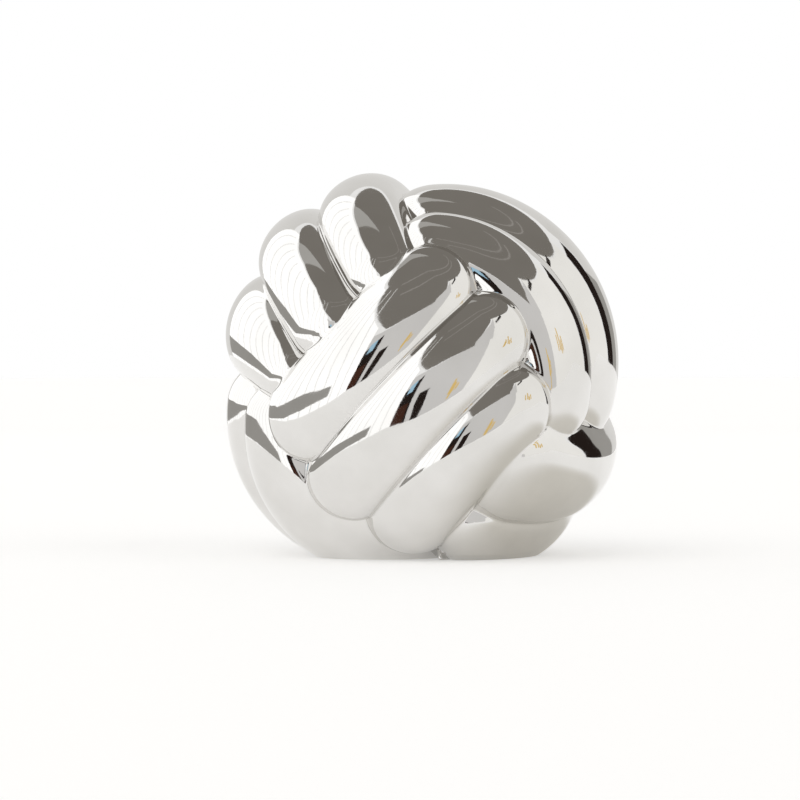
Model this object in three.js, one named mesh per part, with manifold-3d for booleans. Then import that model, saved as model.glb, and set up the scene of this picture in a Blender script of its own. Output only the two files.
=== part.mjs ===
// A silver ceramic ball knot, 80 mm high and about 85 mm across, that stands on a small ground flat.
// Millimetres, +Z up. -Y is the front, where three strands run from the lower left to the upper right.
//
// The knot has six faces of three strands each. On every face the strands run side by side, and their
// ends tuck under the outer strand of the face next to it, as the rope of a real knot does. The ball is
// hollow. A strand is one solid of its wall: domed outside, round to the cavity inside, cut along the
// grooves, and its ends run on as thin tongues that lie in a rebate under the strand that they dive under.

import * as THREE from "three";
import { mergeVertices } from "three/addons/utils/BufferGeometryUtils.js";
import Module from "manifold-3d";

const wasm = await Module();
wasm.setup();

// The ball that the strands' crowns lie on, measured from its middle
const HALF_WIDTH = 41.4;
const HALF_DEPTH = 42.5;
const HALF_HEIGHT = 42.4;
const GROUND_DEPTH = 4.6;
const BASE_DROP = HALF_HEIGHT - GROUND_DEPTH;

// The wall under a crown, and the tongues that line the cavity under the next strand
const WALL = 8.5;
const TONGUE_THICKNESS = 2.5;
const TONGUE_REACH = 4;
const LEAST_LAP = 0.1;
const GAP = 0.3;
const VENT_DIAMETER = 5;
const VENT_OFFSET = 8;

// A strand's section is the upper half of an ellipse, or of a squarer oval, that would end this far past
// the groove, as a share of the strand's half width. Near that end it runs on straight, and no pit goes
// deeper than the cover.
const OVERRUN_RATIO = 1.15;
const STRAIGHT_SHARE = 0.9;
const LEAST_COVER = 1;

// The eight places where three faces meet, as azimuth from the front and elevation, in degrees
const CORNERS = {
  frontTopLeft: [-51, -8],
  frontTopRight: [-5, 38],
  frontLowRight: [35, -17],
  frontLowLeft: [8, -62],
  backTopLeft: [-125, 2],
  backTopRight: [180, 56],
  backLowRight: [119, -9],
  backLowLeft: [-176, -42],
};

const THIRDS = [1 / 3, 2 / 3];

// Each face: the two corners of the edge where its strands start and where they end, how far its two
// long edges bow in (degrees), how far it stands proud at its start, middle and end and how much further
// each strand does (mm), how high its domes are and how square, where 2 is an ellipse, how far from their
// starts and ends the strands begin to round off, as a share of their half widths, where its two grooves
// divide it at its start, middle and end, and its strands in turn.
const FACES = {
  front: {
    start: ["frontTopLeft", "frontLowLeft"],
    end: ["frontTopRight", "frontLowRight"],
    bow: [3, 5],
    lift: [0.9, 0, 0],
    strandLift: [0.8, 0.6, 0.8],
    fall: 5.9,
    squareness: 2.24,
    rounding: [0.9, 0.72],
    grooves: [THIRDS, THIRDS, THIRDS],
    strands: ["front_strand_upper", "front_strand_middle", "front_strand_lower"],
  },
  right: {
    start: ["frontTopRight", "backTopRight"],
    end: ["frontLowRight", "backLowRight"],
    bow: [11, 8],
    lift: [-3.2, 0.2, -2],
    strandLift: [1, 0, 0],
    fall: 8.4,
    squareness: 2.2,
    rounding: [0.75, 0.75],
    grooves: [[0.27, 0.62], [0.27, 0.69], [0.31, 0.65]],
    strands: ["right_strand_front", "right_strand_middle", "right_strand_rear"],
  },
  top: {
    start: ["frontTopLeft", "frontTopRight"],
    end: ["backTopLeft", "backTopRight"],
    bow: [5, 6],
    lift: [0, 1.6, 2.4],
    strandLift: [0, 1, 0.3],
    fall: 7.5,
    squareness: 2,
    rounding: [0.4, 0.75],
    grooves: [[0.28, 0.65], [0.38, 0.69], [0.31, 0.7]],
    strands: ["top_strand_left", "top_strand_middle", "top_strand_right"],
  },
  left: {
    start: ["frontTopLeft", "backTopLeft"],
    end: ["frontLowLeft", "backLowLeft"],
    bow: [6, 8],
    lift: [-1.8, 2.9, -1],
    strandLift: [0.3, 0.8, 0],
    fall: 7.5,
    squareness: 2,
    rounding: [0.75, 0.75],
    grooves: [[0.27, 0.56], [0.41, 0.68], [0.48, 0.72]],
    strands: ["left_strand_front", "left_strand_middle", "left_strand_rear"],
  },
  bottom: {
    start: ["frontLowRight", "frontLowLeft"],
    end: ["backLowRight", "backLowLeft"],
    bow: [3, 3],
    lift: [1.4, 2.7, 2],
    strandLift: [0, 0, -1],
    fall: 4.5,
    squareness: 2,
    rounding: [0.75, 0.75],
    grooves: [[0.6, 0.97], [0.34, 0.73], [0.38, 0.72]],
    strands: ["bottom_strand_right", "bottom_strand_middle", "bottom_strand_left"],
  },
  back: {
    start: ["backTopLeft", "backLowLeft"],
    end: ["backTopRight", "backLowRight"],
    bow: [10, 9],
    lift: [0, 0, 0],
    strandLift: [0, 0, 0],
    fall: 7.5,
    squareness: 2,
    rounding: [0.75, 0.75],
    grooves: [THIRDS, THIRDS, THIRDS],
    strands: ["back_strand_upper", "back_strand_middle", "back_strand_lower"],
  },
};

// How finely each solid is faceted
const SIDE_STEPS = 22;
const END_STEPS = 9;
const DOME_RINGS = [0.4, 0.75, 1];
const VENT_SIDES = 24;

const RAD = Math.PI / 180;
const LEAST_CAVITY = Math.min(HALF_WIDTH, HALF_DEPTH, HALF_HEIGHT) - WALL;

// How grooves are found along a ray: the first steps and the probes, as angles, and the halvings. A corner
// nearer than the merge share to a ray, of the space between two rays, has no ray of its own.
const MARCH = 0.012;
const PROBE = 0.002;
const HALVINGS = 20;
const WORST_SLANT = 3;
const MERGE_SHARE = 0.04;

const SILVER_GLAZE = new THREE.MeshStandardMaterial({ color: 0xc9c7c2, roughness: 0.06, metalness: 1 });

function direction([azimuth, elevation]) {
  const a = azimuth * RAD;
  const e = elevation * RAD;
  return new THREE.Vector3(Math.sin(a) * Math.cos(e), -Math.cos(a) * Math.cos(e), Math.sin(e));
}

function onGreatCircle(from, to, angle) {
  const side = to.clone().addScaledVector(from, -from.dot(to)).normalize();
  return from.clone().multiplyScalar(Math.cos(angle)).addScaledVector(side, Math.sin(angle));
}

function between(from, to, share) {
  return onGreatCircle(from, to, from.angleTo(to) * share);
}

// The circle on the unit sphere that runs through three directions
function circleThrough(start, middle, end) {
  const axis = middle.clone().sub(start).cross(end.clone().sub(middle)).normalize();
  const x = start.clone().addScaledVector(axis, -start.dot(axis)).normalize();
  const y = axis.clone().cross(x);
  const turn = Math.atan2(end.dot(y), end.dot(x));
  return { axis, x, y, spread: start.angleTo(axis), sweep: turn > 0 ? turn : turn + 2 * Math.PI };
}

// The direction at an angle along such a circle and an angle to its outer side
function onCircle(circle, along, aside = 0) {
  const polar = circle.spread + aside;
  return circle.axis
    .clone()
    .multiplyScalar(Math.cos(polar))
    .addScaledVector(circle.x, Math.sin(polar) * Math.cos(along))
    .addScaledVector(circle.y, Math.sin(polar) * Math.sin(along));
}

const corners = Object.fromEntries(
  Object.entries(CORNERS).map(([name, angles]) => [name, direction(angles)]),
);

// The twelve edges between faces. Each is a long edge of one face and bows towards that face's middle.
const edges = Object.values(FACES).flatMap((face) =>
  [0, 1].map((side) => {
    const from = face.start[side];
    const to = face.end[side];
    const centre = new THREE.Vector3();
    [...face.start, ...face.end].forEach((name) => centre.add(corners[name]));
    const straight = corners[from].clone().add(corners[to]).normalize();
    const middle = onGreatCircle(straight, centre.normalize(), face.bow[side] * RAD);
    return { from, to, middle, circle: circleThrough(corners[from], middle, corners[to]) };
  }),
);

function onEdge(from, to, share) {
  const edge = edges.find((e) => (e.from === from && e.to === to) || (e.from === to && e.to === from));
  return onCircle(edge.circle, edge.circle.sweep * (edge.from === from ? share : 1 - share));
}

// The middle line and the half widths of every strand
function layStrands(face) {
  const [startCuts, middleCuts, endCuts] = face.grooves.map((cuts) => [0, ...cuts, 1]);
  const longEdges = edges.filter((e) => face.start.includes(e.from) && face.end.includes(e.to));
  const middles = longEdges.map((e) => e.middle);
  const spanOf = (at, cuts, k) => [at(cuts[k]), at((cuts[k] + cuts[k + 1]) / 2), at(cuts[k + 1])];
  return face.strands.map((name, k) => {
    const start = spanOf((share) => onEdge(...face.start, share), startCuts, k);
    const middle = spanOf((share) => between(...middles, share), middleCuts, k);
    const end = spanOf((share) => onEdge(...face.end, share), endCuts, k);
    const halves = [start, middle, end].map(([low, , high]) => low.angleTo(high) / 2);
    const line = circleThrough(start[1], middle[1], end[1]);
    const lift = face.lift.map((height) => height + face.strandLift[k]);
    return { name, line, halves, lift, fall: face.fall, squareness: face.squareness, rounding: face.rounding };
  });
}

const strands = Object.values(FACES).flatMap(layStrands);

// The crown's radius in a direction
function crown(d) {
  return 1 / Math.hypot(d.x / HALF_WIDTH, d.y / HALF_DEPTH, d.z / HALF_HEIGHT);
}

// A value at t, from -1 at a strand's start to 1 at its end, that is smooth through the three given
function through([start, middle, end], t) {
  return middle * (1 - t * t) + (start * t * (t - 1) + end * t * (t + 1)) / 2;
}

// How high a strand's dome stands in a direction. Its ends may reach further than its groove.
function domeHeight({ line, halves, lift, fall, squareness, rounding }, d, reach = 0) {
  const aside = d.angleTo(line.axis) - line.spread;
  const halfSweep = line.sweep / 2;
  const turn = Math.atan2(d.dot(line.y), d.dot(line.x)) - halfSweep;
  const along = Math.atan2(Math.sin(turn), Math.cos(turn));
  const t = THREE.MathUtils.clamp(along / halfSweep, -1, 1);
  const [capHalf, share] = along < 0 ? [halves[0], rounding[0]] : [halves[2], rounding[1]];
  const straight = halfSweep * Math.sin(line.spread) - share * capHalf + reach / HALF_DEPTH;
  const past = Math.max(0, Math.abs(along) * Math.sin(line.spread) - straight);
  const edgeShare = Math.hypot(aside / through(halves, t), past / capHalf) / OVERRUN_RATIO;
  const round = Math.min(edgeShare, STRAIGHT_SHARE);
  const rise = (1 - round ** squareness) ** (1 / squareness);
  const slope = (round / rise) ** (squareness - 1);
  return crown(d) + through(lift, t) - fall * (1 - rise + (edgeShare - round) * slope);
}

function cavityRadius(d) {
  return crown(d) - WALL;
}

function lapRadius(d) {
  return cavityRadius(d) + TONGUE_THICKNESS;
}

function outerRadius(strand, d) {
  return Math.max(domeHeight(strand, d), lapRadius(d) + LEAST_COVER);
}

// The neighbour that stands highest in a direction, and how far the strand stands above it
function rivalOf(strand, d, reach) {
  let rival = null;
  let height = -Infinity;
  for (const other of strands) {
    const otherHeight = other === strand ? -Infinity : domeHeight(other, d, reach);
    if (otherHeight > height) [rival, height] = [other, otherHeight];
  }
  return { rival, lead: domeHeight(strand, d, reach) - height };
}

// The rays that fan out from a strand's middle line to its outline, in turn
function evenRays(strand) {
  const { line, halves, rounding } = strand;
  const low = (rounding[0] * halves[0]) / Math.sin(line.spread);
  const high = line.sweep - (rounding[1] * halves[2]) / Math.sin(line.spread);
  const rays = [];
  const addSide = (k, heading) =>
    rays.push({ root: k, along: low + ((high - low) * k) / SIDE_STEPS, heading });
  const addEnd = (root, along, heading) => {
    for (let k = 1; k < END_STEPS; k++) rays.push({ root, along, heading: heading - (180 * k) / END_STEPS });
  };
  for (let k = 0; k <= SIDE_STEPS; k++) addSide(k, 90);
  addEnd(SIDE_STEPS, high, 90);
  for (let k = SIDE_STEPS; k >= 0; k--) addSide(k, -90);
  addEnd(0, low, -90);
  return rays;
}

function onRay(strand, ray, distance) {
  const aside = distance * Math.sin(ray.heading * RAD);
  const along = (distance * Math.cos(ray.heading * RAD)) / Math.sin(strand.line.spread + aside);
  return onCircle(strand.line, ray.along + along, aside);
}

// The angle along a ray at which the strand gives way to a neighbour, and that neighbour
function grooveOn(strand, ray, reach) {
  const at = (distance) => rivalOf(strand, onRay(strand, ray, distance), reach);
  let far = MARCH;
  while (at(far).lead > 0) far += MARCH;
  let near = far - MARCH;
  for (let k = 0; k < HALVINGS; k++) {
    const middle = (near + far) / 2;
    if (at(middle).lead > 0) near = middle;
    else far = middle;
  }
  return { distance: near, rival: at(near).rival };
}

// The ray, if it needs one, from the same root to the corner where one neighbour gives way to the next
function cornerRay(strand, first, second) {
  let [low, high] = [0, 1];
  const mixed = (share) => ({
    root: first.root,
    along: first.along + (second.along - first.along) * share,
    heading: first.heading + (second.heading - first.heading) * share,
  });
  const { rival } = grooveOn(strand, first, 0);
  for (let k = 0; k < HALVINGS; k++) {
    const middle = (low + high) / 2;
    if (grooveOn(strand, mixed(middle), 0).rival === rival) low = middle;
    else high = middle;
  }
  if (low < MERGE_SHARE || low > 1 - MERGE_SHARE) return [];
  const ray = mixed(low);
  const { distance } = grooveOn(strand, ray, 0);
  const aside = distance * Math.sin(ray.heading * RAD);
  const shift = (ray.along - first.along) * Math.sin(strand.line.spread + aside);
  const ahead = distance * Math.cos(ray.heading * RAD) + shift;
  return [{ root: first.root, along: first.along, heading: Math.atan2(aside, ahead) / RAD }];
}

function raysOf(strand) {
  const rays = evenRays(strand);
  const rivals = rays.map((ray) => grooveOn(strand, ray, 0).rival);
  return rays.flatMap((ray, i) => {
    const next = (i + 1) % rays.length;
    if (rivals[i] === rivals[next]) return [ray];
    const unwound = next === 0 ? { ...rays[next], heading: rays[next].heading - 360 } : rays[next];
    return [ray, ...cornerRay(strand, ray, unwound)];
  });
}

// The angle along a ray at which the solid ends, half the gap short of its neighbour
function outlineOn(strand, ray, reach) {
  const { distance } = grooveOn(strand, ray, reach);
  const lead = (turn, back) =>
    rivalOf(strand, onRay(strand, { ...ray, heading: ray.heading + turn }, distance - back), reach).lead;
  const here = lead(0, 0);
  const steep = (lead(0, PROBE) - here) / PROBE;
  const turn = PROBE / distance / RAD;
  const across = Math.max(Math.abs(lead(turn, 0) - here), Math.abs(lead(-turn, 0) - here)) / PROBE;
  const slant = Math.min(WORST_SLANT, Math.hypot(1, across / steep));
  return distance - (slant * GAP) / 2 / LEAST_CAVITY;
}

// A closed solid of one strand's wall, about the ball's middle
function strandGeometry(strand) {
  const rays = raysOf(strand);
  const points = [];
  const triangles = [];
  const spine = Array.from({ length: SIDE_STEPS + 1 }, (_, root) => rays.find((ray) => ray.root === root));
  const addRing = (place) => {
    rays.forEach((ray, i) => points.push(place(ray, i)));
    return points.length - rays.length;
  };
  const addSpine = (radiusAt) => {
    spine.forEach((ray) => {
      const d = onRay(strand, ray, 0);
      points.push(d.clone().multiplyScalar(radiusAt(d)));
    });
    return points.length - spine.length;
  };
  const grooveAt = rays.map((ray) => outlineOn(strand, ray, 0));
  const tongueAt = rays.map((ray, i) => {
    const distance = outlineOn(strand, ray, TONGUE_REACH);
    return Math.abs(distance - grooveAt[i]) * LEAST_CAVITY < LEAST_LAP ? grooveAt[i] : distance;
  });
  const addLap = (distances) =>
    addRing((ray, i) => {
      const d = onRay(strand, ray, distances[i]);
      const play = tongueAt[i] > grooveAt[i] ? -GAP / 2 : GAP / 2;
      return d.clone().multiplyScalar(lapRadius(d) + play);
    });

  const bands = DOME_RINGS.map((share) =>
    addRing((ray, i) => {
      const d = onRay(strand, ray, grooveAt[i] * share);
      return d.clone().multiplyScalar(outerRadius(strand, d));
    }),
  );
  bands.push(addLap(grooveAt), addLap(tongueAt));
  bands.push(
    addRing((ray, i) => {
      const d = onRay(strand, ray, tongueAt[i]);
      return d.clone().multiplyScalar(cavityRadius(d));
    }),
  );
  const outerRoots = addSpine((d) => outerRadius(strand, d));
  const innerRoots = addSpine(cavityRadius);

  rays.forEach((ray, i) => {
    const next = (i + 1) % rays.length;
    const addQuad = (a, b, c, d) => triangles.push([a, c, b], [a, d, c]);
    for (let band = 0; band + 1 < bands.length; band++) {
      addQuad(bands[band] + i, bands[band] + next, bands[band + 1] + next, bands[band + 1] + i);
    }
    const [first, last] = [bands[0], bands[bands.length - 1]];
    triangles.push([outerRoots + ray.root, first + i, first + next]);
    triangles.push([innerRoots + ray.root, last + next, last + i]);
    if (rays[next].root !== ray.root) {
      triangles.push([outerRoots + ray.root, first + next, outerRoots + rays[next].root]);
      triangles.push([innerRoots + ray.root, innerRoots + rays[next].root, last + next]);
    }
  });

  const geometry = new THREE.BufferGeometry();
  geometry.setAttribute("position", new THREE.Float32BufferAttribute(points.flatMap((p) => p.toArray()), 3));
  geometry.setIndex(triangles.flat());
  return geometry;
}

function solidOf(geometry) {
  const bare = geometry.clone();
  bare.deleteAttribute("normal");
  bare.deleteAttribute("uv");
  const merged = mergeVertices(bare);
  return new wasm.Manifold(
    new wasm.Mesh({
      numProp: 3,
      vertProperties: new Float32Array(merged.attributes.position.array),
      triVerts: new Uint32Array(merged.index.array),
    }),
  );
}

function geometryOf(solid) {
  const mesh = solid.getMesh();
  const geometry = new THREE.BufferGeometry();
  geometry.setAttribute("position", new THREE.BufferAttribute(mesh.vertProperties.slice(), 3));
  geometry.setIndex(new THREE.BufferAttribute(mesh.triVerts.slice(), 1));
  return geometry;
}

// What is ground off below the flat base
function groundAway() {
  const side = 4 * HALF_WIDTH;
  const slab = new THREE.BoxGeometry(side, side, side);
  slab.translate(0, 0, -BASE_DROP - side / 2);
  return solidOf(slab);
}

function ventDrill() {
  const drill = new THREE.CylinderGeometry(VENT_DIAMETER / 2, VENT_DIAMETER / 2, BASE_DROP, VENT_SIDES);
  drill.rotateX(Math.PI / 2);
  drill.translate(VENT_OFFSET, 0, -BASE_DROP);
  return solidOf(drill);
}

const cuts = [groundAway(), ventDrill()];
const group = new THREE.Group();
for (const strand of strands) {
  const solid = cuts.reduce((rest, cut) => rest.subtract(cut), solidOf(strandGeometry(strand)));
  const mesh = new THREE.Mesh(geometryOf(solid), SILVER_GLAZE);
  mesh.name = strand.name;
  group.add(mesh);
}

// The base is at z 0, with the middle of the outline over the origin
const outline = new THREE.Box3().setFromObject(group);
const middle = outline.getCenter(new THREE.Vector3());
group.position.set(-middle.x, -middle.y, BASE_DROP);
group.updateMatrixWorld(true);

export default group;
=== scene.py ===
"""The look of the silver ceramic ball knot: eighteen domed strands in a mirror silver glaze.

Lengths are in millimetres about the ball's middle until a mesh is made, and then in metres in the
frame of the model. -Y is the front.
"""

import math

import bmesh
import bpy
import numpy as np
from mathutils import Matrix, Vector


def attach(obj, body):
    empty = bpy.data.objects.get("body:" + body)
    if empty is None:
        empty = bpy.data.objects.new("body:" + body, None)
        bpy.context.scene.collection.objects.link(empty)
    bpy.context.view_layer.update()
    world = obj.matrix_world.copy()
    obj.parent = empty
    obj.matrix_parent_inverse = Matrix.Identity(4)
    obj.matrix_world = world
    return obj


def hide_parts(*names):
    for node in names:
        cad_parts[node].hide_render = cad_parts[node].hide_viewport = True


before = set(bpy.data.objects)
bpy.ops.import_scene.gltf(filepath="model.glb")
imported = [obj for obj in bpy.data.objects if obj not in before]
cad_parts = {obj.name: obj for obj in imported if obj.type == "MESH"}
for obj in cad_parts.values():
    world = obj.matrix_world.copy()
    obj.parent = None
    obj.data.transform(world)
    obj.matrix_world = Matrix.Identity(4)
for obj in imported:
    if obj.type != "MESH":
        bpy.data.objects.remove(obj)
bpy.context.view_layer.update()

MM = 0.001

# The ball that the strands' crowns lie on, and its middle where the CAD has it in the frame of the
# model
HALF_WIDTH = 41.4
HALF_DEPTH = 42.5
HALF_HEIGHT = 42.4
BASE_DROP = 37.8
BALL_MIDDLE = (0.662, 0.195, BASE_DROP)

# The wall, from the crowns to the cavity, and the vent hole through the ground flat
WALL = 8.5
VENT_DIAMETER = 5.0
VENT_OFFSET = 8.0
DRILL_LENGTH = 4 * WALL

# A dome's section: how many times as wide as its strand it is, and how far out, as a share of that
# width, it goes on as a straight slope
OVERRUN_RATIO = 1.15
STRAIGHT_SHARE = 0.9

# How softly the glaze rounds the bottom of a groove, and the gap between two strands' meshes there
GLAZE_FILLET = 0.22
SEAM = 0.02

# The eight places where three faces meet, as azimuth from the front and elevation, in degrees
CORNERS = {
    "front_top_left": (-51, -8),
    "front_top_right": (-5, 38),
    "front_low_right": (35, -17),
    "front_low_left": (8, -62),
    "back_top_left": (-125, 2),
    "back_top_right": (180, 56),
    "back_low_right": (119, -9),
    "back_low_left": (-176, -42),
}

THIRDS = (1 / 3, 2 / 3)

# The six faces. Each has
#   start, end   the two corners where its strands start, and the two where they end
#   bow          how far its two long edges bow in, in degrees
#   lift         how far it stands proud of the ball at its start, middle and end, in mm
#   strand_lift  how much further each of its strands does, in mm
#   fall         the half height of a dome's section, in mm
#   squareness   the exponent of that section, where 2 makes it an ellipse
#   rounding     how far from its start and end a strand rounds off, as a share of its half width
#   grooves      where its two grooves divide it at its start, middle and end, as shares
#   strands      the names of its three strands
FACES = [
    {
        "start": ("front_top_left", "front_low_left"),
        "end": ("front_top_right", "front_low_right"),
        "bow": (3, 5),
        "lift": (0.9, 0, 0),
        "strand_lift": (0.8, 0.6, 0.8),
        "fall": 5.9,
        "squareness": 2.24,
        "rounding": (0.9, 0.72),
        "grooves": (THIRDS, THIRDS, THIRDS),
        "strands": ("front_strand_upper", "front_strand_middle", "front_strand_lower"),
    },
    {
        "start": ("front_top_right", "back_top_right"),
        "end": ("front_low_right", "back_low_right"),
        "bow": (11, 8),
        "lift": (-3.2, 0.2, -2),
        "strand_lift": (1, 0, 0),
        "fall": 8.4,
        "squareness": 2.2,
        "rounding": (0.75, 0.75),
        "grooves": ((0.27, 0.62), (0.27, 0.69), (0.31, 0.65)),
        "strands": ("right_strand_front", "right_strand_middle", "right_strand_rear"),
    },
    {
        "start": ("front_top_left", "front_top_right"),
        "end": ("back_top_left", "back_top_right"),
        "bow": (5, 6),
        "lift": (0, 1.6, 2.4),
        "strand_lift": (0, 1, 0.3),
        "fall": 7.5,
        "squareness": 2,
        "rounding": (0.4, 0.75),
        "grooves": ((0.28, 0.65), (0.38, 0.69), (0.31, 0.7)),
        "strands": ("top_strand_left", "top_strand_middle", "top_strand_right"),
    },
    {
        "start": ("front_top_left", "back_top_left"),
        "end": ("front_low_left", "back_low_left"),
        "bow": (6, 8),
        "lift": (-1.8, 2.9, -1),
        "strand_lift": (0.3, 0.8, 0),
        "fall": 7.5,
        "squareness": 2,
        "rounding": (0.75, 0.75),
        "grooves": ((0.27, 0.56), (0.41, 0.68), (0.48, 0.72)),
        "strands": ("left_strand_front", "left_strand_middle", "left_strand_rear"),
    },
    {
        "start": ("front_low_right", "front_low_left"),
        "end": ("back_low_right", "back_low_left"),
        "bow": (3, 3),
        "lift": (1.4, 2.7, 2),
        "strand_lift": (0, 0, -1),
        "fall": 4.5,
        "squareness": 2,
        "rounding": (0.75, 0.75),
        "grooves": ((0.6, 0.97), (0.34, 0.73), (0.38, 0.72)),
        "strands": ("bottom_strand_right", "bottom_strand_middle", "bottom_strand_left"),
    },
    {
        "start": ("back_top_left", "back_low_left"),
        "end": ("back_top_right", "back_low_right"),
        "bow": (10, 9),
        "lift": (0, 0, 0),
        "strand_lift": (0, 0, 0),
        "fall": 7.5,
        "squareness": 2,
        "rounding": (0.75, 0.75),
        "grooves": (THIRDS, THIRDS, THIRDS),
        "strands": ("back_strand_upper", "back_strand_middle", "back_strand_lower"),
    },
]

# How finely each strand is meshed: the steps along a side and round an end, the rings between its
# middle line and its outline, which crowd towards the outline, and the rings inside the wall
SIDE_STEPS = 110
END_STEPS = 44
DOME_RINGS = 34
RING_CROWDING = 1.5
CAVITY_SHARES = (0.75, 0.4)
VENT_SIDES = 64

# How the grooves are searched for: in steps of so many radians, and then by halving
MARCH = 0.012
MARCH_STEPS = 60
HALVINGS = 16
CORNER_HALVINGS = 10

# How a mesh is cut and shaded, and the places of its two materials
CUT_TOLERANCE = 1e-7
SHARP_ANGLE = 35.0
GLAZED_SLOT = 0
BARE_SLOT = 1


def direction(azimuth, elevation):
    a, e = math.radians(azimuth), math.radians(elevation)
    return np.array([math.sin(a) * math.cos(e), -math.cos(a) * math.cos(e), math.sin(e)])


def unit(v):
    return v / np.linalg.norm(v, axis=-1, keepdims=True)


def angle_between(a, b):
    return np.arctan2(np.linalg.norm(np.cross(a, b), axis=-1), (a * b).sum(-1))


def on_great_circle(start, end, angle):
    side = unit(end - start * (start @ end))
    return start * math.cos(angle) + side * math.sin(angle)


def between(start, end, share):
    return on_great_circle(start, end, angle_between(start, end) * share)


def circle_through(start, middle, end):
    """The circle on the unit sphere that runs through three directions."""
    axis = unit(np.cross(middle - start, end - middle))
    x = unit(start - axis * (start @ axis))
    y = np.cross(axis, x)
    turn = math.atan2(end @ y, end @ x)
    return {
        "axis": axis,
        "x": x,
        "y": y,
        "spread": float(angle_between(start, axis)),
        "sweep": turn if turn > 0 else turn + 2 * math.pi,
    }


def on_circle(circle, along, aside=0.0):
    """The directions at angles along such a circle and angles to its outer side."""
    along, aside = np.broadcast_arrays(along, aside)
    polar = circle["spread"] + aside
    return (
        np.cos(polar)[..., None] * circle["axis"]
        + (np.sin(polar) * np.cos(along))[..., None] * circle["x"]
        + (np.sin(polar) * np.sin(along))[..., None] * circle["y"]
    )


def lay_strands():
    """The middle line and the half widths of every strand."""
    corners = {name: direction(*angles) for name, angles in CORNERS.items()}
    edges = {}
    middles = {}
    for face in FACES:
        centre = unit(sum(corners[name] for name in face["start"] + face["end"]))
        middles[face["strands"]] = []
        for side in (0, 1):
            start, end = face["start"][side], face["end"][side]
            straight = unit(corners[start] + corners[end])
            middle = on_great_circle(straight, centre, math.radians(face["bow"][side]))
            edges[start, end] = circle_through(corners[start], middle, corners[end])
            middles[face["strands"]].append(middle)

    def on_edge(start, end, share):
        forward = (start, end) in edges
        circle = edges[start, end] if forward else edges[end, start]
        return on_circle(circle, circle["sweep"] * (share if forward else 1 - share))

    found = []
    for face in FACES:
        places = (
            lambda share: on_edge(*face["start"], share),
            lambda share: between(*middles[face["strands"]], share),
            lambda share: on_edge(*face["end"], share),
        )
        for k, name in enumerate(face["strands"]):
            spans = []
            for place, grooves in zip(places, face["grooves"]):
                cuts = (0, *grooves, 1)
                low, high = cuts[k], cuts[k + 1]
                spans.append((place(low), place((low + high) / 2), place(high)))
            line = circle_through(*(span[1] for span in spans))
            halves = [float(angle_between(span[0], span[2])) / 2 for span in spans]
            lift = [height + face["strand_lift"][k] for height in face["lift"]]
            found.append(
                {
                    "name": name,
                    "line": line,
                    "halves": halves,
                    "lift": lift,
                    "fall": face["fall"],
                    "squareness": face["squareness"],
                    "rounding": face["rounding"],
                }
            )
    return found


strands = lay_strands()


def crown(d):
    """The crown's radius in each direction."""
    return 1 / np.linalg.norm(d / np.array([HALF_WIDTH, HALF_DEPTH, HALF_HEIGHT]), axis=-1)


def through(values, t):
    """The smooth curve through three values, at t from -1 at a strand's start to 1 at its end."""
    start, middle, end = values
    return middle * (1 - t * t) + (start * t * (t - 1) + end * t * (t + 1)) / 2


def dome_height(strand, d):
    """How high a strand's dome stands in each direction."""
    line, halves = strand["line"], strand["halves"]
    aside = angle_between(d, line["axis"]) - line["spread"]
    half_sweep = line["sweep"] / 2
    turn = np.arctan2(d @ line["y"], d @ line["x"]) - half_sweep
    along = np.arctan2(np.sin(turn), np.cos(turn))
    t = np.clip(along / half_sweep, -1, 1)
    cap_half = np.where(along < 0, halves[0], halves[2])
    share = np.where(along < 0, *strand["rounding"])
    straight = half_sweep * math.sin(line["spread"]) - share * cap_half
    past = np.maximum(0, np.abs(along) * math.sin(line["spread"]) - straight)
    edge_share = np.hypot(aside / through(halves, t), past / cap_half) / OVERRUN_RATIO
    rounded = np.minimum(edge_share, STRAIGHT_SHARE)
    squareness = strand["squareness"]
    rise = (1 - rounded**squareness) ** (1 / squareness)
    slope = (rounded / rise) ** (squareness - 1)
    drop = 1 - rise + (edge_share - rounded) * slope
    return crown(d) + through(strand["lift"], t) - strand["fall"] * drop


def heights(d):
    return np.stack([dome_height(strand, d) for strand in strands])


def glazed_height(d):
    """The surface in each direction: the highest dome, with glaze in the bottoms of the grooves."""
    h = heights(d)
    top = h.max(0)
    return top + GLAZE_FILLET * np.log(np.exp((h - top) / GLAZE_FILLET).sum(0))


def on_rays(strand, along, heading, distance):
    """The directions at angles along rays that leave a strand's middle line at a heading."""
    aside = distance * np.sin(heading)
    ahead = distance * np.cos(heading) / np.sin(strand["line"]["spread"] + aside)
    return on_circle(strand["line"], along + ahead, aside)


def lead_on(index, d):
    """How far a strand stands above its highest neighbour, and which neighbour that is."""
    h = heights(d)
    own = h[index].copy()
    h[index] = -np.inf
    return own - h.max(0), h.argmax(0)


def grooves_on(index, along, heading):
    """The angle along each ray at which the strand gives way to a neighbour, and that neighbour."""
    strand = strands[index]
    steps = MARCH * np.arange(1, MARCH_STEPS + 1)
    lead, _ = lead_on(index, on_rays(strand, along[:, None], heading[:, None], steps))
    first = (lead <= 0).argmax(1)
    far = steps[first]
    near = far - MARCH
    for _ in range(HALVINGS):
        middle = (near + far) / 2
        inside = lead_on(index, on_rays(strand, along, heading, middle))[0] > 0
        near = np.where(inside, middle, near)
        far = np.where(inside, far, middle)
    return near, lead_on(index, on_rays(strand, along, heading, near))[1]


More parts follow.
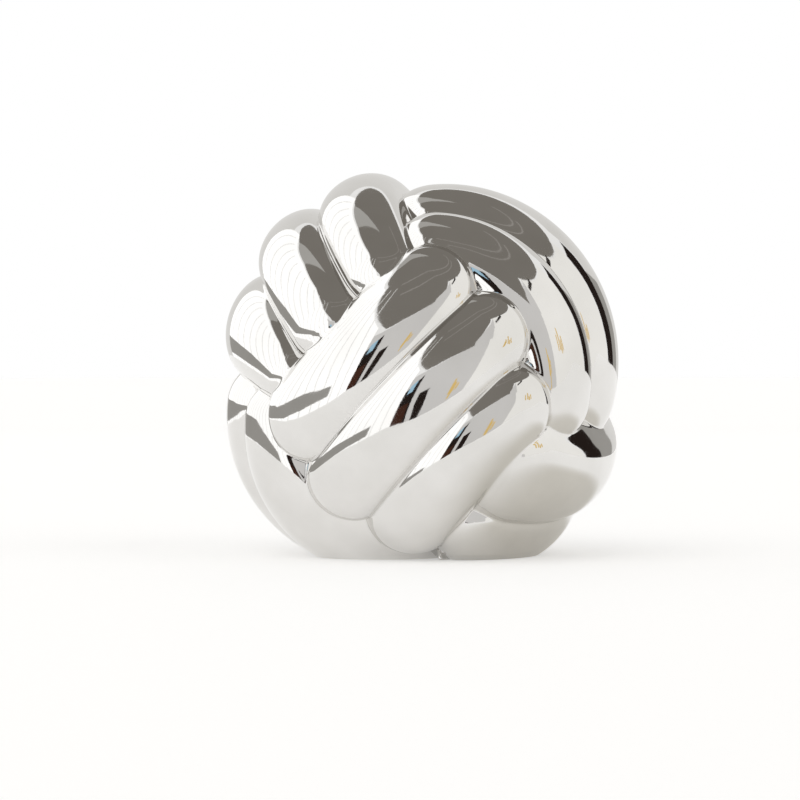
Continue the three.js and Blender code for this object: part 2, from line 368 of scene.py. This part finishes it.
def even_rays(strand):
    """The rays that fan out from a strand's middle line to its outline: root, along and heading."""
    line, halves, rounding = strand["line"], strand["halves"], strand["rounding"]
    low = rounding[0] * halves[0] / math.sin(line["spread"])
    high = line["sweep"] - rounding[1] * halves[2] / math.sin(line["spread"])
    sides = np.arange(SIDE_STEPS + 1)
    ends = math.pi * np.arange(1, END_STEPS) / END_STEPS
    quarter = math.pi / 2
    root = np.concatenate([sides, ends * 0 + SIDE_STEPS, sides[::-1], ends * 0]).astype(int)
    heading = np.concatenate(
        [sides * 0 + quarter, quarter - ends, sides * 0 - quarter, -quarter - ends]
    )
    return root, low + (high - low) * root / SIDE_STEPS, heading


def with_corners(index):
    """The rays, with one more wherever one neighbour gives way to the next, and their grooves."""
    strand = strands[index]
    root, along, heading = even_rays(strand)
    distance, rival = grooves_on(index, along, heading)
    turns = np.flatnonzero(rival != np.roll(rival, -1))
    following = (turns + 1) % len(root)
    second = heading[following] - np.where(following == 0, 2 * math.pi, 0)
    low = np.zeros(len(turns))
    high = np.ones(len(turns))

    def mixed(share):
        return (
            along[turns] + (along[following] - along[turns]) * share,
            heading[turns] + (second - heading[turns]) * share,
        )

    for _ in range(CORNER_HALVINGS):
        middle = (low + high) / 2
        same = grooves_on(index, *mixed(middle))[1] == rival[turns]
        low = np.where(same, middle, low)
        high = np.where(same, high, middle)
    corner_along, corner_heading = mixed(low)
    reach, _ = grooves_on(index, corner_along, corner_heading)
    aside = reach * np.sin(corner_heading)
    shift = (corner_along - along[turns]) * np.sin(strand["line"]["spread"] + aside)
    ahead = reach * np.cos(corner_heading) + shift
    root = np.insert(root, turns + 1, root[turns])
    along = np.insert(along, turns + 1, along[turns])
    heading = np.insert(heading, turns + 1, np.arctan2(aside, ahead))
    distance = np.insert(distance, turns + 1, np.hypot(aside, ahead))
    return root, along, heading, distance


def strand_shell(index):
    """The points and faces of one strand's wall, and which faces are glazed."""
    strand = strands[index]
    root, along, heading, distance = with_corners(index)
    distance = distance - SEAM / 2 / HALF_WIDTH
    count = len(root)
    shares = 1 - (1 - np.arange(1, DOME_RINGS + 1) / DOME_RINGS) ** RING_CROWDING
    rings = []
    for share in shares:
        d = on_rays(strand, along, heading, distance * share)
        rings.append(d * glazed_height(d)[:, None])
    for share in (1, *CAVITY_SHARES):
        d = on_rays(strand, along, heading, distance * share)
        rings.append(d * (crown(d) - WALL)[:, None])
    spine = [int(np.flatnonzero(root == k)[0]) for k in range(SIDE_STEPS + 1)]
    d = on_rays(strand, along[spine], heading[spine], np.zeros(len(spine)))
    outer_roots = len(rings) * count
    inner_roots = outer_roots + len(spine)
    points = np.concatenate(
        [*rings, d * glazed_height(d)[:, None], d * (crown(d) - WALL)[:, None]]
    )
    faces = []
    glazed = []
    following = (np.arange(count) + 1) % count
    for ring in range(len(rings) - 1):
        a, b = ring * count, (ring + 1) * count
        faces += [(a + i, b + i, b + n, a + n) for i, n in enumerate(following)]
        glazed += [ring < DOME_RINGS - 1] * count
    last = (len(rings) - 1) * count
    for i, n in enumerate(following):
        faces += [(outer_roots + root[i], i, n), (inner_roots + root[i], last + n, last + i)]
        glazed += [True, False]
        if root[n] != root[i]:
            faces += [
                (outer_roots + root[i], n, outer_roots + root[n]),
                (inner_roots + root[i], inner_roots + root[n], last + n),
            ]
            glazed += [True, False]
    return points, faces, glazed


def add_mesh(name, points, faces, materials, slots=None):
    mesh = bpy.data.meshes.new(name)
    mesh.from_pydata(points, [], [[int(i) for i in face] for face in faces])
    for material in materials:
        mesh.materials.append(material)
    if slots is not None:
        mesh.polygons.foreach_set("material_index", np.array(slots, np.int32))
    piece = bpy.data.objects.new(name, mesh)
    bpy.context.scene.collection.objects.link(piece)
    return piece


def grind_flat(piece):
    """Cut a piece off at the surface that the ball stands on, and close the cut."""
    bm = bmesh.new()
    bm.from_mesh(piece.data)
    everything = bm.verts[:] + bm.edges[:] + bm.faces[:]
    bmesh.ops.bisect_plane(
        bm,
        geom=everything,
        dist=CUT_TOLERANCE,
        plane_co=(0, 0, 0),
        plane_no=(0, 0, -1),
        clear_outer=True,
    )
    rim = [edge for edge in bm.edges if edge.is_boundary]
    if rim:
        filled = bmesh.ops.contextual_create(bm, geom=rim)
        for face in filled["faces"]:
            face.material_index = BARE_SLOT
    bmesh.ops.recalc_face_normals(bm, faces=bm.faces[:])
    bm.to_mesh(piece.data)
    bm.free()


def drill_vent(piece):
    """Cut the round vent hole through the ground flat into the cavity."""
    bpy.ops.mesh.primitive_cylinder_add(
        vertices=VENT_SIDES,
        radius=VENT_DIAMETER / 2 * MM,
        depth=DRILL_LENGTH * MM,
        location=((BALL_MIDDLE[0] + VENT_OFFSET) * MM, BALL_MIDDLE[1] * MM, 0),
    )
    drill = bpy.context.active_object
    drill.data.materials.append(piece.data.materials[BARE_SLOT])
    cut = piece.modifiers.new("vent", "BOOLEAN")
    cut.operation = "DIFFERENCE"
    cut.solver = "EXACT"
    cut.object = drill
    depsgraph = bpy.context.evaluated_depsgraph_get()
    holed = bpy.data.meshes.new_from_object(piece.evaluated_get(depsgraph))
    piece.modifiers.clear()
    piece.data = holed
    bpy.data.objects.remove(drill)


# The glaze and the bare body: how fine their noises are, per metre, the colours and the roughness
# that these range between, and how high they are as bumps, in metres
CLOUD_SCALE = 90
CLOUD_TINTS = ((0.74, 0.73, 0.71, 1), (0.8, 0.79, 0.775, 1))
HAZE_SCALE = 260
HAZE_ROUGHNESS = (0.03, 0.075)
WAVE_SCALE = 75
WAVE_HEIGHT = 0.00018
PIT_SCALE = 900
PIT_HEIGHT = 0.000004
GRAIN_SCALE = 1800
GRAIN_TINTS = ((0.66, 0.63, 0.58, 1), (0.78, 0.75, 0.7, 1))
GRAIN_ROUGHNESS = (0.75, 0.9)
GRAIN_HEIGHT = 0.00003
RAMP_ENDS = (0.3, 0.7)


def node_material(name):
    material = bpy.data.materials.new(name)
    material.use_nodes = True
    nodes = material.node_tree.nodes
    links = material.node_tree.links
    return material, nodes, links, nodes["Principled BSDF"]


def add_noise(nodes, links, coordinates, scale, detail):
    noise = nodes.new("ShaderNodeTexNoise")
    noise.inputs["Scale"].default_value = scale
    noise.inputs["Detail"].default_value = detail
    links.new(coordinates.outputs["Object"], noise.inputs["Vector"])
    return noise.outputs["Fac"]


def add_ramp(nodes, links, source, colours):
    ramp = nodes.new("ShaderNodeValToRGB")
    for stop, place, colour in zip(ramp.color_ramp.elements, RAMP_ENDS, colours):
        stop.position = place
        stop.color = colour
    links.new(source, ramp.inputs["Fac"])
    return ramp.outputs["Color"]


def add_bump(nodes, links, source, height):
    bump = nodes.new("ShaderNodeBump")
    bump.inputs["Strength"].default_value = 1
    bump.inputs["Distance"].default_value = height
    links.new(source, bump.inputs["Height"])
    return bump


def greys(values):
    return [(value, value, value, 1) for value in values]


def silver_glaze():
    """A mirror silver glaze, slightly warm, with faint clouding, fine pits and a soft waviness."""
    material, nodes, links, shader = node_material("silver_glaze")
    coordinates = nodes.new("ShaderNodeTexCoord")
    clouding = add_noise(nodes, links, coordinates, CLOUD_SCALE, detail=3)
    haze = add_noise(nodes, links, coordinates, HAZE_SCALE, detail=4)
    waves = add_noise(nodes, links, coordinates, WAVE_SCALE, detail=1)
    pits = add_noise(nodes, links, coordinates, PIT_SCALE, detail=2)
    tint = add_ramp(nodes, links, clouding, CLOUD_TINTS)
    roughness = add_ramp(nodes, links, haze, greys(HAZE_ROUGHNESS))
    soft = add_bump(nodes, links, waves, WAVE_HEIGHT)
    fine = add_bump(nodes, links, pits, PIT_HEIGHT)
    links.new(soft.outputs["Normal"], fine.inputs["Normal"])
    links.new(tint, shader.inputs["Base Color"])
    links.new(roughness, shader.inputs["Roughness"])
    links.new(fine.outputs["Normal"], shader.inputs["Normal"])
    shader.inputs["Metallic"].default_value = 1
    return material


def bare_ceramic():
    """The unglazed body: off-white, dull and finely grained."""
    material, nodes, links, shader = node_material("bare_ceramic")
    coordinates = nodes.new("ShaderNodeTexCoord")
    grain = add_noise(nodes, links, coordinates, GRAIN_SCALE, detail=4)
    tint = add_ramp(nodes, links, grain, GRAIN_TINTS)
    roughness = add_ramp(nodes, links, grain, greys(GRAIN_ROUGHNESS))
    bump = add_bump(nodes, links, grain, GRAIN_HEIGHT)
    links.new(tint, shader.inputs["Base Color"])
    links.new(roughness, shader.inputs["Roughness"])
    links.new(bump.outputs["Normal"], shader.inputs["Normal"])
    return material


glaze = silver_glaze()
bare = bare_ceramic()
for index, strand in enumerate(strands):
    points, faces, glazed = strand_shell(index)
    points = (points + np.array(BALL_MIDDLE)) * MM
    slots = [GLAZED_SLOT if shiny else BARE_SLOT for shiny in glazed]
    piece = add_mesh(strand["name"] + "_glazed", points, faces, [glaze, bare], slots)
    piece.data.polygons.foreach_set("use_smooth", np.ones(len(faces), bool))
    if points[:, 2].min() < 0:
        grind_flat(piece)
    if strand["name"] == "bottom_strand_left":
        drill_vent(piece)
    piece.data.set_sharp_from_angle(angle=math.radians(SHARP_ANGLE))
    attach(piece, "root")
    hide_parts(strand["name"])

# The photo's camera is level with the ball's middle: how far off it is, the scale of the photo
# there, and the pixel where that middle lies
VIEW_DISTANCE = 606.0
PIXELS_PER_MM = 4.75
FRAME_PIXELS = 800
SENSOR = 36.0
MIDDLE_PIXEL = (425.0, 374.5)
CLIP_START = 0.01

view = bpy.data.cameras.new("photo_view")
view.sensor_width = SENSOR
view.lens = SENSOR * PIXELS_PER_MM * VIEW_DISTANCE / FRAME_PIXELS
view.shift_x = (FRAME_PIXELS / 2 - MIDDLE_PIXEL[0]) / FRAME_PIXELS
view.shift_y = (MIDDLE_PIXEL[1] - FRAME_PIXELS / 2) / FRAME_PIXELS
view.clip_start = CLIP_START
camera = bpy.data.objects.new("photo_view", view)
camera.location = (
    BALL_MIDDLE[0] * MM,
    (BALL_MIDDLE[1] - VIEW_DISTANCE) * MM,
    BALL_MIDDLE[2] * MM,
)
camera.rotation_euler = (math.pi / 2, 0, 0)
bpy.context.scene.collection.objects.link(camera)
bpy.context.scene.camera = camera


# The floor: its lift is the brightness that it has without light, where white has 1
FLOOR_TINT = (0.8, 0.79, 0.77, 1)
FLOOR_LIFT = 0.36
FLOOR_ROUGHNESS = 0.9
FLOOR_GLOSS = 0.1

# A painted shadow of the ball on the floor, a dim patch that only the glaze sees: it is full within
# its core and ends at its radius, in metres
SHADE_TINT = (0.68, 0.65, 0.58, 1)
SHADE_LIFT = 0.18
SHADE_MIDDLE = (0.045, -0.008, 0.0)
SHADE_CORE = 0.024
SHADE_RADIUS = 0.06

# The light of the white world on things, the width of the suns in degrees, and how far off the
# cards stand, in metres
AMBIENT = 0.6
SUN_WIDTH = 50.0
CARD_DISTANCE = 1.6
CARD_STEPS = 24


def shows_to_eye(nodes, links):
    """1 for what the camera sees, straight or in a mirror, and 0 for light that falls on things."""
    path = nodes.new("ShaderNodeLightPath")
    total = path.outputs["Is Camera Ray"]
    for name in ("Is Glossy Ray", "Is Transmission Ray"):
        added = nodes.new("ShaderNodeMath")
        added.operation = "MAXIMUM"
        links.new(total, added.inputs[0])
        links.new(path.outputs[name], added.inputs[1])
        total = added.outputs[0]
    return total


def add_product(nodes, links, first, second):
    product = nodes.new("ShaderNodeMath")
    product.operation = "MULTIPLY"
    links.new(first, product.inputs[0])
    links.new(second, product.inputs[1])
    return product.outputs[0]


def pale_floor():
    """A pale matt floor, a little brighter to the eye than the light on it makes it.

    The glaze mirrors a painted shadow of the ball in it, a dimmer patch on the right, away from the
    big window.
    """
    material, nodes, links, shader = node_material("pale_floor")
    coordinates = nodes.new("ShaderNodeTexCoord")
    away = nodes.new("ShaderNodeVectorMath")
    away.operation = "DISTANCE"
    links.new(coordinates.outputs["Object"], away.inputs[0])
    away.inputs[1].default_value = SHADE_MIDDLE
    shade = nodes.new("ShaderNodeMapRange")
    shade.interpolation_type = "SMOOTHSTEP"
    shade.inputs["From Min"].default_value = SHADE_RADIUS
    shade.inputs["From Max"].default_value = SHADE_CORE
    links.new(away.outputs["Value"], shade.inputs["Value"])
    # Painted shadow of the ball: glossy rays see the floor darker and less lifted near SHADE_MIDDLE
    mirrored = nodes.new("ShaderNodeLightPath").outputs["Is Glossy Ray"]
    painted_shadow = add_product(nodes, links, mirrored, shade.outputs["Result"])
    tint = nodes.new("ShaderNodeMix")
    tint.data_type = "RGBA"
    tint.inputs["A"].default_value = FLOOR_TINT
    tint.inputs["B"].default_value = SHADE_TINT
    links.new(painted_shadow, tint.inputs["Factor"])
    links.new(tint.outputs["Result"], shader.inputs["Base Color"])
    shader.inputs["Roughness"].default_value = FLOOR_ROUGHNESS
    shader.inputs["Specular IOR Level"].default_value = FLOOR_GLOSS
    lift_with_painted_shadow = nodes.new("ShaderNodeMapRange")
    lift_with_painted_shadow.inputs["To Min"].default_value = FLOOR_LIFT
    lift_with_painted_shadow.inputs["To Max"].default_value = SHADE_LIFT
    links.new(painted_shadow, lift_with_painted_shadow.inputs["Value"])
    lift = add_product(nodes, links, shows_to_eye(nodes, links), lift_with_painted_shadow.outputs["Result"])
    shader.inputs["Emission Color"].default_value = (1, 1, 1, 1)
    links.new(lift, shader.inputs["Emission Strength"])
    return material


def light_world():
    world = bpy.data.worlds.new("studio")
    bpy.context.scene.world = world
    world.use_nodes = True
    nodes, links = world.node_tree.nodes, world.node_tree.links
    background = nodes["Background"]
    background.inputs["Color"].default_value = (1, 1, 1, 1)
    strength = nodes.new("ShaderNodeMix")
    strength.data_type = "FLOAT"
    strength.inputs["A"].default_value = AMBIENT
    strength.inputs["B"].default_value = 1.0
    links.new(shows_to_eye(nodes, links), strength.inputs["Factor"])
    links.new(strength.outputs["Result"], background.inputs["Strength"])


def from_ball(azimuth, elevation, distance):
    """The place at a direction and a distance in metres from the ball's middle."""
    return Vector(direction(azimuth, elevation)) * distance + Vector(BALL_MIDDLE) * MM


def add_sun(name, azimuth, elevation, strength):
    """A soft sun that lights things evenly but isn't seen in the glaze."""
    sun = bpy.data.lights.new(name, "SUN")
    sun.angle = math.radians(SUN_WIDTH)
    sun.energy = strength
    holder = bpy.data.objects.new(name, sun)
    outwards = Vector(direction(azimuth, elevation))
    holder.rotation_euler = outwards.to_track_quat("Z", "Y").to_euler()
    holder.visible_camera = False
    holder.visible_glossy = False
    bpy.context.scene.collection.objects.link(holder)


def add_card(name, azimuths, bottoms, tops, colour, nearer):
    """A curved card round the ball that only the glaze sees.

    It runs from one azimuth to another, and has the elevations of its bottom and top edges at both.
    It stands so much nearer to the ball than CARD_DISTANCE.
    """
    material = bpy.data.materials.new(name)
    material.use_nodes = True
    nodes, links = material.node_tree.nodes, material.node_tree.links
    nodes.clear()
    glow = nodes.new("ShaderNodeEmission")
    glow.inputs["Color"].default_value = (*colour, 1)
    out = nodes.new("ShaderNodeOutputMaterial")
    links.new(glow.outputs["Emission"], out.inputs["Surface"])
    points = []
    for i in range(CARD_STEPS + 1):
        share = i / CARD_STEPS
        azimuth = azimuths[0] + (azimuths[1] - azimuths[0]) * share
        bottom = bottoms[0] + (bottoms[1] - bottoms[0]) * share
        top = tops[0] + (tops[1] - tops[0]) * share
        for j in range(CARD_STEPS + 1):
            elevation = bottom + (top - bottom) * j / CARD_STEPS
            points.append(from_ball(azimuth, elevation, CARD_DISTANCE - nearer))
    across = CARD_STEPS + 1
    faces = [
        (i * across + j, (i + 1) * across + j, (i + 1) * across + j + 1, i * across + j + 1)
        for i in range(CARD_STEPS)
        for j in range(CARD_STEPS)
    ]
    card = add_mesh(name, points, faces, [material])
    card.visible_camera = False
    card.visible_diffuse = False
    card.visible_shadow = False


def add_floor(name, points, faces):
    floor = add_mesh(name, [(x, y, 0) for x, y in points], faces, [floor_paint])
    return floor


# The board that the ball stands on, in metres, which ends 0.1 m in front of it, and how many times
# as large the floor round it is, which the glaze doesn't mirror
BOARD = [
    (2.0, -0.1),
    (2.0, 3.0),
    (-0.35, 3.0),
    (-0.26, 0.4),
    (-0.235, 0.2),
    (-0.19, 0.035),
    (-0.125, -0.045),
    (-0.07, -0.08),
    (-0.04, -0.1),
]
SURROUND = 12.0

floor_paint = pale_floor()
board_corners = len(BOARD)
add_floor("board", BOARD, [tuple(range(board_corners))])
ring = []
for corner in range(board_corners):
    following = (corner + 1) % board_corners
    ring.append((corner, following, following + board_corners, corner + board_corners))
far_corners = [(x * SURROUND, y * SURROUND) for x, y in BOARD]
around = add_floor("surround", BOARD + far_corners, ring)
around.visible_glossy = False
light_world()

# Two soft suns: azimuth, elevation and strength
add_sun("key", -35, 55, 0.5)
add_sun("fill", 60, 35, 0.3)

# The colours of what the glaze mirrors
WINDOW = (1.35, 1.35, 1.35)
RIGHT_WINDOW = (1.0, 0.99, 0.96)
FOLD = (0.98, 0.98, 0.97)
PALE = (0.76, 0.75, 0.73)
CLOTH = (0.7, 0.69, 0.68)
MIDDLE_GREY = (0.45, 0.44, 0.42)
SILL_GREY = (0.36, 0.35, 0.33)
DARK_GREY = (0.215, 0.2, 0.18)
MOULDING = (0.33, 0.31, 0.29)
NEAR_BLACK = (0.02, 0.014, 0.012)
DARK_BROWN = (0.06, 0.025, 0.016)
SKY_BLUE = (0.4, 0.62, 0.78)
GOLD = (0.8, 0.56, 0.2)

# Far off, a ceiling that comes down to the tops of the windows: azimuths, and the elevations of its
# lower edge. A stretch of it at the back on the left is paler.
ZENITH = (90, 90)
CEILING = [
    ((-180, -140), (46, 57), DARK_GREY),
    ((-140, -100), (57, 61), MIDDLE_GREY),
    ((-100, -60), (61, 56), DARK_GREY),
    ((-60, -35), (56, 34), DARK_GREY),
    ((-35, -14), (34, 17), DARK_GREY),
    ((-14, 28), (17, 16), DARK_GREY),
    ((28, 38), (16, 38), DARK_GREY),
    ((38, 112), (38, 46), DARK_GREY),
    ((112, 180), (46, 46), DARK_GREY),
]
for number, (azimuths, bottoms, colour) in enumerate(CEILING):
    add_card("ceiling_card_%d" % number, azimuths, bottoms, ZENITH, colour, nearer=0)

# The rest of the room, from far to near: name, azimuths, elevations of the bottom and the top edge,
# colour, and how much nearer than the ceiling. There is a window on the left and one on the right,
# with sills and dark frames, pale cloth in front with two dark posts, and pale surroundings behind.
BELOW_BOARD = (-35, -35)
ROOM = [
    ("moulding", (-20, 100), (44, 62), (45, 63), MOULDING, 0.05),
    ("upper_moulding", (-30, 130), (54, 68), (55, 69), MOULDING, 0.05),
    ("window", (-152, -100), BELOW_BOARD, (54, 59), WINDOW, 0.1),
    ("window_middle", (-100, -60), BELOW_BOARD, (59, 54), WINDOW, 0.1),
    ("window_side", (-60, -24), BELOW_BOARD, (54, 22), WINDOW, 0.1),
    ("right_window", (40, 114), BELOW_BOARD, (38, 45), RIGHT_WINDOW, 0.1),
    ("rear", (136, 208), (-5, -5), (40, 46), PALE, 0.1),
    ("cloth", (-24, 40), BELOW_BOARD, (16, 16), CLOTH, 0.15),
    ("side_cloth", (28, 42), (16, 16), (20, 38), CLOTH, 0.15),
    ("sill", (-114, -46), (-8, -18), (4, -10), SILL_GREY, 0.18),
    ("far_sill", (-152, -114), (-3, -8), (3, 4), SILL_GREY, 0.18),
    ("frame_side", (134, 150), (-3, -3), (24, 14), SILL_GREY, 0.18),
    ("frame", (116, 134), (-3, -3), (36, 36), NEAR_BLACK, 0.2),
    ("rail", (45, 60), (30, 38), (33, 42), NEAR_BLACK, 0.2),
    ("wide_post", (-24, -12), BELOW_BOARD, (4, 12), NEAR_BLACK, 0.2),
    ("slim_post", (-7, 1), BELOW_BOARD, (-5, -5), NEAR_BLACK, 0.2),
    ("post_foot", (-24, -14), BELOW_BOARD, (-9, -9), DARK_BROWN, 0.21),
    ("post_shine", (-21, -16), (1, 1), (8, 10), SKY_BLUE, 0.22),
]
for name, *shape in ROOM:
    add_card(name + "_card", *shape)

# Folds of curtain in the left window
FOLDS = 12
FIRST_FOLD = -144
FOLD_SPACING = 10
FOLD_WIDTH = 1
FOLD_TOP = (52, 52)
for number in range(FOLDS):
    azimuth = FIRST_FOLD + FOLD_SPACING * number
    azimuths = (azimuth, azimuth + FOLD_WIDTH)
    add_card("fold_card_%d" % number, azimuths, BELOW_BOARD, FOLD_TOP, FOLD, nearer=0.12)

# The leaves of a golden plant: azimuth, and the elevations of foot and tip
LEAF_WIDTH = 2
LEAVES = [
    (22, -20, -7),
    (24, -24, -10),
    (27, -18, -12),
    (56, 0, 8),
    (60, 1, 12),
    (63, 0, 7),
    (66, 2, 9),
]
for number, (azimuth, foot, tip) in enumerate(LEAVES):
    azimuths = (azimuth, azimuth + LEAF_WIDTH)
    add_card("plant_card_%d" % number, azimuths, (foot, foot), (tip, tip), GOLD, nearer=0.2)

bpy.context.scene.view_settings.view_transform = "Standard"
